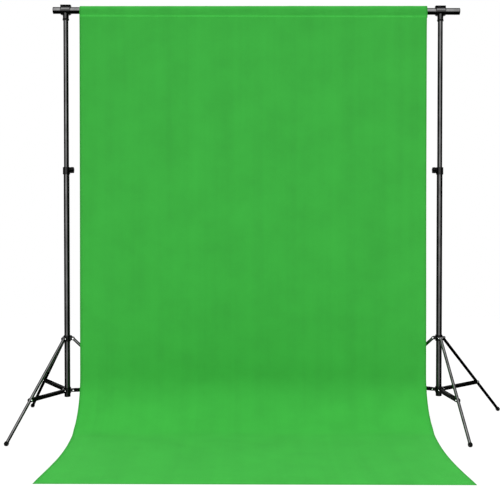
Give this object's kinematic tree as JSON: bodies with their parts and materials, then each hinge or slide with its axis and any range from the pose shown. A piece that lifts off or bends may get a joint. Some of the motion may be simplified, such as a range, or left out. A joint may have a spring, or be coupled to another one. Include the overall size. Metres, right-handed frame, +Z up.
{
  "type": "background support system",
  "caption": "Background support: folding light stands joined by a sectional crossbar that carries a green cloth backdrop, which sweeps forward onto the floor.",
  "frame": {"origin": "on the floor, under the middle of the whole footprint", "axes": "+Z up, -Y the side that the backdrop faces and sweeps towards, +X along the crossbar to the right hand of someone looking at the backdrop"},
  "size_m": [2.6319, 1.4437, 2.176],
  "materials": {
    "cloth": "matt woven polyester",
    "rubber": "moulded matt",
    "knob_plastic": "moulded, fine grain",
    "collar_plastic": "moulded, fine grain",
    "bush_plastic": "moulded",
    "fasteners": "bright zinc",
    "brace_metal": "satin black",
    "bare_tube": "satin",
    "black_tube": "black anodised, satin"
  },
  "bodies": {
    "left_column": {"left_lower_tube": "black_tube", "left_end_cap": "collar_plastic", "left_spreader_collar": "collar_plastic", "left_spreader_rivets": "fasteners", "left_lock_collar": "collar_plastic"},
    "left_lock_knob": {"left_lock_knob": "knob_plastic"},
    "left_leg_collar": {"left_leg_collar": "collar_plastic", "left_leg_rivets": "fasteners"},
    "left_collar_knob": {"left_collar_knob": "knob_plastic"},
    "left_mast": {"left_upper_tube": "black_tube", "left_guide_bush": "bush_plastic"},
    "left_holder": {"left_bar_holder": "collar_plastic", "left_holder_cap": "collar_plastic", "left_holder_screws": "fasteners"},
    "left_leg_1": {"left_leg_1": "black_tube", "left_foot_1": "rubber"},
    "left_brace_1": {"left_brace_1": "brace_metal", "left_brace_rivet_1": "fasteners"},
    "left_leg_2": {"left_leg_2": "black_tube", "left_foot_2": "rubber"},
    "left_brace_2": {"left_brace_2": "brace_metal", "left_brace_rivet_2": "fasteners"},
    "left_leg_3": {"left_leg_3": "black_tube", "left_foot_3": "rubber"},
    "left_brace_3": {"left_brace_3": "brace_metal", "left_brace_rivet_3": "fasteners"},
    "right_column": {"right_lower_tube": "black_tube", "right_end_cap": "collar_plastic", "right_spreader_collar": "collar_plastic", "right_spreader_rivets": "fasteners", "right_lock_collar": "collar_plastic"},
    "right_lock_knob": {"right_lock_knob": "knob_plastic"},
    "right_leg_collar": {"right_leg_collar": "collar_plastic", "right_leg_rivets": "fasteners"},
    "right_collar_knob": {"right_collar_knob": "knob_plastic"},
    "right_mast": {"right_upper_tube": "black_tube", "right_guide_bush": "bush_plastic"},
    "right_holder": {"right_bar_holder": "collar_plastic", "right_holder_cap": "collar_plastic", "right_holder_screws": "fasteners"},
    "right_leg_1": {"right_leg_1": "black_tube", "right_foot_1": "rubber"},
    "right_brace_1": {"right_brace_1": "brace_metal", "right_brace_rivet_1": "fasteners"},
    "right_leg_2": {"right_leg_2": "black_tube", "right_foot_2": "rubber"},
    "right_brace_2": {"right_brace_2": "brace_metal", "right_brace_rivet_2": "fasteners"},
    "right_leg_3": {"right_leg_3": "black_tube", "right_foot_3": "rubber"},
    "right_brace_3": {"right_brace_3": "brace_metal", "right_brace_rivet_3": "fasteners"},
    "crossbar": {"bar_left_joiner": "bare_tube", "bar_left_plug": "collar_plastic", "bar_left_section": "black_tube", "bar_middle_section": "black_tube", "bar_right_joiner": "bare_tube", "bar_right_plug": "collar_plastic", "bar_right_section": "black_tube", "backdrop": "cloth"}
  },
  "joints": [
    {"name": "left_lock_knob_turn", "type": "hinge", "parent": "left_column", "child": "left_lock_knob", "pos_m": [-1.0015, 0.32, 1.323], "axis": [1, 0, 0], "range_deg": [0, 360]},
    {"name": "left_leg_collar_slide", "type": "slide", "parent": "left_column", "child": "left_leg_collar", "axis": [0, 0, 1], "range_m": [0, 0.381]},
    {"name": "left_collar_knob_turn", "type": "hinge", "parent": "left_leg_collar", "child": "left_collar_knob", "pos_m": [-1.01398, 0.33952, 0.447], "axis": [0.4195, 0.9078, 0], "range_deg": [0, 360]},
    {"name": "left_leg_1_fold", "type": "hinge", "parent": "left_leg_collar", "child": "left_leg_1", "pos_m": [-0.99382, 0.32266, 0.447], "axis": [-0.0906, 0.9959, 0], "range_deg": [0, 42.93]},
    {"name": "left_brace_1_fold", "type": "hinge", "parent": "left_column", "child": "left_brace_1", "pos_m": [-0.99213, 0.32281, 0.1764], "axis": [0.0906, -0.9959, 0], "range_deg": [0, 85.05]},
    {"name": "left_leg_2_fold", "type": "hinge", "parent": "left_leg_collar", "child": "left_leg_2", "pos_m": [-1.03989, 0.34394, 0.447], "axis": [-0.8171, -0.5764, 0], "range_deg": [0, 42.93]},
    {"name": "left_brace_2_fold", "type": "hinge", "parent": "left_column", "child": "left_brace_2", "pos_m": [-1.04087, 0.34533, 0.1764], "axis": [0.8171, 0.5764, 0], "range_deg": [0, 85.05]},
    {"name": "left_leg_3_fold", "type": "hinge", "parent": "left_leg_collar", "child": "left_leg_3", "pos_m": [-1.03529, 0.2934, 0.447], "axis": [0.9078, -0.4195, 0], "range_deg": [0, 42.93]},
    {"name": "left_brace_3_fold", "type": "hinge", "parent": "left_column", "child": "left_brace_3", "pos_m": [-1.036, 0.29186, 0.1764], "axis": [-0.9078, 0.4195, 0], "range_deg": [0, 85.05]},
    {"name": "right_lock_knob_turn", "type": "hinge", "parent": "right_column", "child": "right_lock_knob", "pos_m": [0.8975, 0.32, 1.323], "axis": [-1, 0, 0], "range_deg": [0, 360]},
    {"name": "right_leg_collar_slide", "type": "slide", "parent": "right_column", "child": "right_leg_collar", "axis": [0, 0, 1], "range_m": [0, 0.381]},
    {"name": "right_collar_knob_turn", "type": "hinge", "parent": "right_leg_collar", "child": "right_collar_knob", "pos_m": [0.91705, 0.34141, 0.447], "axis": [-0.0906, 0.9959, 0], "range_deg": [0, 360]},
    {"name": "right_leg_1_fold", "type": "hinge", "parent": "right_leg_collar", "child": "right_leg_1", "pos_m": [0.8924, 0.33229, 0.447], "axis": [-0.4195, -0.9078, 0], "range_deg": [0, 42.93]},
    {"name": "right_brace_1_fold", "type": "hinge", "parent": "right_column", "child": "right_brace_1", "pos_m": [0.89086, 0.333, 0.1764], "axis": [0.4195, 0.9078, 0], "range_deg": [0, 85.05]},
    {"name": "right_leg_2_fold", "type": "hinge", "parent": "right_leg_collar", "child": "right_leg_2", "pos_m": [0.94294, 0.33689, 0.447], "axis": [-0.5764, 0.8171, 0], "range_deg": [0, 42.93]},
    {"name": "right_brace_2_fold", "type": "hinge", "parent": "right_column", "child": "right_brace_2", "pos_m": [0.94433, 0.33787, 0.1764], "axis": [0.5764, -0.8171, 0], "range_deg": [0, 85.05]},
    {"name": "right_leg_3_fold", "type": "hinge", "parent": "right_leg_collar", "child": "right_leg_3", "pos_m": [0.92166, 0.29082, 0.447], "axis": [0.9959, 0.0906, 0], "range_deg": [0, 42.93]},
    {"name": "right_brace_3_fold", "type": "hinge", "parent": "right_column", "child": "right_brace_3", "pos_m": [0.92181, 0.28913, 0.1764], "axis": [-0.9959, -0.0906, 0], "range_deg": [0, 85.05]},
    {"name": "mast_slide", "type": "slide", "parent": "left_column", "child": "left_mast", "axis": [0, 0, 1], "range_m": [-0.72, 0], "deforming": ["backdrop"]},
    {"name": "left_holder_swivel", "type": "hinge", "parent": "left_mast", "child": "left_holder", "pos_m": [-1.023, 0.32, 2.109], "axis": [0, 0, 1], "range_deg": [-25, 8]},
    {"name": "left_bar_slide", "type": "slide", "parent": "left_holder", "child": "crossbar", "axis": [1, 0, 0], "range_m": [-0.028, 0.03]},
    {"name": "right_bar_slide", "type": "slide", "parent": "crossbar", "child": "right_holder", "axis": [1, 0, 0], "range_m": [-0.026, 0.07]},
    {"name": "right_holder_swivel", "type": "hinge", "parent": "right_holder", "child": "right_mast", "pos_m": [0.919, 0.32, 2.109], "axis": [0, 0, 1], "range_deg": [-8, 22]},
    {"name": "right_mast_slide", "type": "slide", "parent": "right_mast", "child": "right_column", "axis": [0, 0, -1], "range_m": [-0.72, 0]}
  ],
  "couplings": [
    {"joint": "left_leg_1_fold", "follows": "left_leg_collar_slide", "rad_per_m": 1.9645},
    {"joint": "left_brace_1_fold", "follows": "left_leg_collar_slide", "rad_per_m": 3.894},
    {"joint": "left_leg_2_fold", "follows": "left_leg_collar_slide", "rad_per_m": 1.9645},
    {"joint": "left_brace_2_fold", "follows": "left_leg_collar_slide", "rad_per_m": 3.894},
    {"joint": "left_leg_3_fold", "follows": "left_leg_collar_slide", "rad_per_m": 1.9645},
    {"joint": "left_brace_3_fold", "follows": "left_leg_collar_slide", "rad_per_m": 3.894},
    {"joint": "right_leg_1_fold", "follows": "right_leg_collar_slide", "rad_per_m": 1.9645},
    {"joint": "right_brace_1_fold", "follows": "right_leg_collar_slide", "rad_per_m": 3.894},
    {"joint": "right_leg_2_fold", "follows": "right_leg_collar_slide", "rad_per_m": 1.9645},
    {"joint": "right_brace_2_fold", "follows": "right_leg_collar_slide", "rad_per_m": 3.894},
    {"joint": "right_leg_3_fold", "follows": "right_leg_collar_slide", "rad_per_m": 1.9645},
    {"joint": "right_brace_3_fold", "follows": "right_leg_collar_slide", "rad_per_m": 3.894},
    {"joint": "right_mast_slide", "follows": "mast_slide", "ratio": 1}
  ]
}
